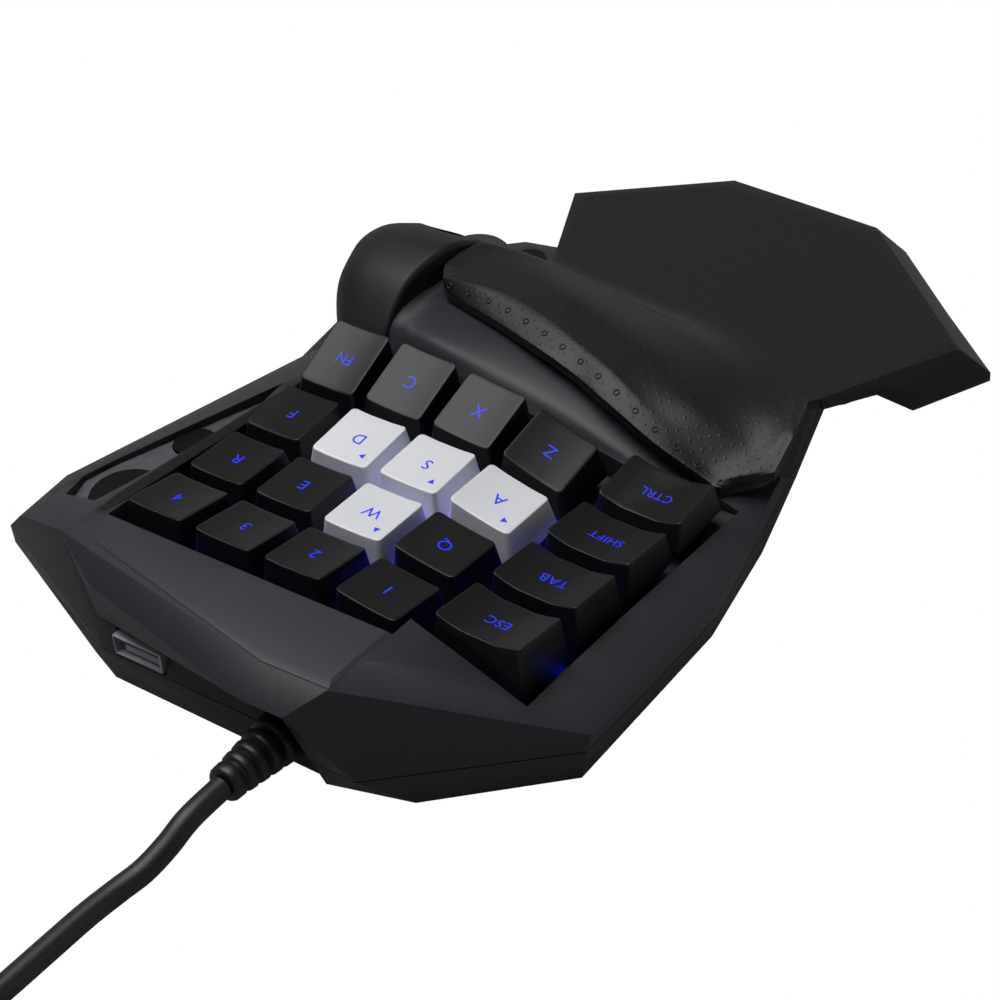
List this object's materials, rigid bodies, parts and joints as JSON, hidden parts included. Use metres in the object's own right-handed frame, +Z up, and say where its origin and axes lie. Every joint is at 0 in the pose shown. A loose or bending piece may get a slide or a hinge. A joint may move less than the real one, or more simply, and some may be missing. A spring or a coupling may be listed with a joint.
{
  "type": "gaming keypad",
  "caption": "Left-hand gaming keypad with sculpted keys in a faceted housing, a thumb stick behind a hump, a sliding palm rest, a USB socket and a coiled cable.",
  "frame": {"origin": "middle of the underside of the keypad without its cable", "axes": "+X to the user's right, +Y away from the user, +Z up; the keys face up and the cable leaves the back towards +Y"},
  "size_m": [0.2093, 0.4388, 0.0473],
  "materials": {
    "charcoal_plastic": "fine matte grain",
    "dark_plastic": "matte",
    "panel_plastic": "satin",
    "black_caps": "satin",
    "silver_caps": "satin",
    "rubber": "soft matte",
    "brushed_metal": "brushed",
    "gloss_black": "gloss",
    "bright_metal": "bright",
    "board": "matte",
    "steel": "plain"
  },
  "bodies": {
    "housing": {"top_shell": "charcoal_plastic", "bottom_shell": "dark_plastic", "rear_panel": "panel_plastic", "strip_plate": "brushed_metal", "thumb_housing": "charcoal_plastic", "key_plate": "dark_plastic", "main_board": "board", "thumb_board": "board", "stick_base": "dark_plastic", "stick_ring": "gloss_black", "usb_shell": "bright_metal", "usb_tongue": "gloss_black", "strain_relief": "rubber", "cable_lead": "rubber", "cable_coil": "rubber", "coil_tie": "gloss_black", "plug_overmould": "rubber", "usb_plug": "bright_metal", "foot_1": "rubber", "foot_2": "rubber", "foot_3": "rubber", "foot_4": "rubber", "case_screw_1": "steel", "case_screw_2": "steel", "case_screw_3": "steel", "case_screw_4": "steel", "case_screw_5": "steel", "case_screw_6": "steel"},
    "z_key": {"key_z": "black_caps"},
    "x_key": {"key_x": "black_caps"},
    "c_key": {"key_c": "black_caps"},
    "fn_key": {"key_fn": "black_caps"},
    "a_key": {"key_a": "silver_caps"},
    "s_key": {"key_s": "silver_caps"},
    "d_key": {"key_d": "silver_caps"},
    "f_key": {"key_f": "black_caps"},
    "q_key": {"key_q": "black_caps"},
    "w_key": {"key_w": "silver_caps"},
    "e_key": {"key_e": "black_caps"},
    "r_key": {"key_r": "black_caps"},
    "1_key": {"key_1": "black_caps"},
    "2_key": {"key_2": "black_caps"},
    "3_key": {"key_3": "black_caps"},
    "4_key": {"key_4": "black_caps"},
    "ctrl_key": {"key_ctrl": "black_caps"},
    "shift_key": {"key_shift": "black_caps"},
    "tab_key": {"key_tab": "black_caps"},
    "esc_key": {"key_esc": "black_caps"},
    "home": {"home_button": "gloss_black"},
    "mode": {"mode_button": "gloss_black"},
    "thumb_press_button": {"thumb_button": "gloss_black"},
    "gimbal": {"stick_gimbal": "dark_plastic"},
    "stick": {"thumb_stick": "rubber"},
    "palm_rest": {"palm_pad": "rubber", "palm_carrier": "dark_plastic", "palm_screw": "steel"}
  },
  "joints": [
    {"name": "z_press", "type": "slide", "parent": "housing", "child": "z_key", "axis": [0.0781, -0.0906, -0.9928], "range_m": [0, 0.0035], "stiffness_N_per_m": 120, "springref_m": -0.003},
    {"name": "x_press", "type": "slide", "parent": "housing", "child": "x_key", "axis": [0.0781, -0.0906, -0.9928], "range_m": [0, 0.0035], "stiffness_N_per_m": 120, "springref_m": -0.003},
    {"name": "c_press", "type": "slide", "parent": "housing", "child": "c_key", "axis": [0.0781, -0.0906, -0.9928], "range_m": [0, 0.0035], "stiffness_N_per_m": 120, "springref_m": -0.003},
    {"name": "fn_press", "type": "slide", "parent": "housing", "child": "fn_key", "axis": [0.0781, -0.0906, -0.9928], "range_m": [0, 0.0035], "stiffness_N_per_m": 120, "springref_m": -0.003},
    {"name": "a_press", "type": "slide", "parent": "housing", "child": "a_key", "axis": [0.0781, -0.0906, -0.9928], "range_m": [0, 0.0035], "stiffness_N_per_m": 120, "springref_m": -0.003},
    {"name": "s_press", "type": "slide", "parent": "housing", "child": "s_key", "axis": [0.0781, -0.0906, -0.9928], "range_m": [0, 0.0035], "stiffness_N_per_m": 120, "springref_m": -0.003},
    {"name": "d_press", "type": "slide", "parent": "housing", "child": "d_key", "axis": [0.0781, -0.0906, -0.9928], "range_m": [0, 0.0035], "stiffness_N_per_m": 120, "springref_m": -0.003},
    {"name": "f_press", "type": "slide", "parent": "housing", "child": "f_key", "axis": [0.0781, -0.0906, -0.9928], "range_m": [0, 0.0035], "stiffness_N_per_m": 120, "springref_m": -0.003},
    {"name": "q_press", "type": "slide", "parent": "housing", "child": "q_key", "axis": [0.0781, -0.0906, -0.9928], "range_m": [0, 0.0035], "stiffness_N_per_m": 120, "springref_m": -0.003},
    {"name": "w_press", "type": "slide", "parent": "housing", "child": "w_key", "axis": [0.0781, -0.0906, -0.9928], "range_m": [0, 0.0035], "stiffness_N_per_m": 120, "springref_m": -0.003},
    {"name": "e_press", "type": "slide", "parent": "housing", "child": "e_key", "axis": [0.0781, -0.0906, -0.9928], "range_m": [0, 0.0035], "stiffness_N_per_m": 120, "springref_m": -0.003},
    {"name": "r_press", "type": "slide", "parent": "housing", "child": "r_key", "axis": [0.0781, -0.0906, -0.9928], "range_m": [0, 0.0035], "stiffness_N_per_m": 120, "springref_m": -0.003},
    {"name": "1_press", "type": "slide", "parent": "housing", "child": "1_key", "axis": [0.0781, -0.0906, -0.9928], "range_m": [0, 0.0035], "stiffness_N_per_m": 120, "springref_m": -0.003},
    {"name": "2_press", "type": "slide", "parent": "housing", "child": "2_key", "axis": [0.0781, -0.0906, -0.9928], "range_m": [0, 0.0035], "stiffness_N_per_m": 120, "springref_m": -0.003},
    {"name": "3_press", "type": "slide", "parent": "housing", "child": "3_key", "axis": [0.0781, -0.0906, -0.9928], "range_m": [0, 0.0035], "stiffness_N_per_m": 120, "springref_m": -0.003},
    {"name": "4_press", "type": "slide", "parent": "housing", "child": "4_key", "axis": [0.0781, -0.0906, -0.9928], "range_m": [0, 0.0035], "stiffness_N_per_m": 120, "springref_m": -0.003},
    {"name": "ctrl_press", "type": "slide", "parent": "housing", "child": "ctrl_key", "axis": [0.0781, -0.0906, -0.9928], "range_m": [0, 0.0035], "stiffness_N_per_m": 120, "springref_m": -0.003},
    {"name": "shift_press", "type": "slide", "parent": "housing", "child": "shift_key", "axis": [0.0781, -0.0906, -0.9928], "range_m": [0, 0.0035], "stiffness_N_per_m": 120, "springref_m": -0.003},
    {"name": "tab_press", "type": "slide", "parent": "housing", "child": "tab_key", "axis": [0.0781, -0.0906, -0.9928], "range_m": [0, 0.0035], "stiffness_N_per_m": 120, "springref_m": -0.003},
    {"name": "esc_press", "type": "slide", "parent": "housing", "child": "esc_key", "axis": [0.0781, -0.0906, -0.9928], "range_m": [0, 0.0035], "stiffness_N_per_m": 120, "springref_m": -0.003},
    {"name": "home_press", "type": "slide", "parent": "housing", "child": "home", "axis": [0, -0.0436, -0.999], "range_m": [0, 0.0008], "stiffness_N_per_m": 900, "springref_m": -0.001},
    {"name": "mode_press", "type": "slide", "parent": "housing", "child": "mode", "axis": [0, -0.0436, -0.999], "range_m": [0, 0.0008], "stiffness_N_per_m": 900, "springref_m": -0.001},
    {"name": "thumb_button_press", "type": "slide", "parent": "housing", "child": "thumb_press_button", "axis": [0, 0, -1], "range_m": [0, 0.0012], "stiffness_N_per_m": 900, "springref_m": -0.001},
    {"name": "stick_fore_aft", "type": "hinge", "parent": "housing", "child": "gimbal", "pos_m": [0.0494, -0.04745, 0.0136], "axis": [1, 0, 0], "range_deg": [-12, 12], "stiffness_Nm_per_rad": 0.06},
    {"name": "stick_side", "type": "hinge", "parent": "gimbal", "child": "stick", "pos_m": [0.0494, -0.04745, 0.0136], "axis": [0, 1, 0], "range_deg": [-12, 12], "stiffness_Nm_per_rad": 0.06},
    {"name": "palm_slide", "type": "slide", "parent": "housing", "child": "palm_rest", "axis": [0, -1, 0], "range_m": [0, 0.02]}
  ]
}
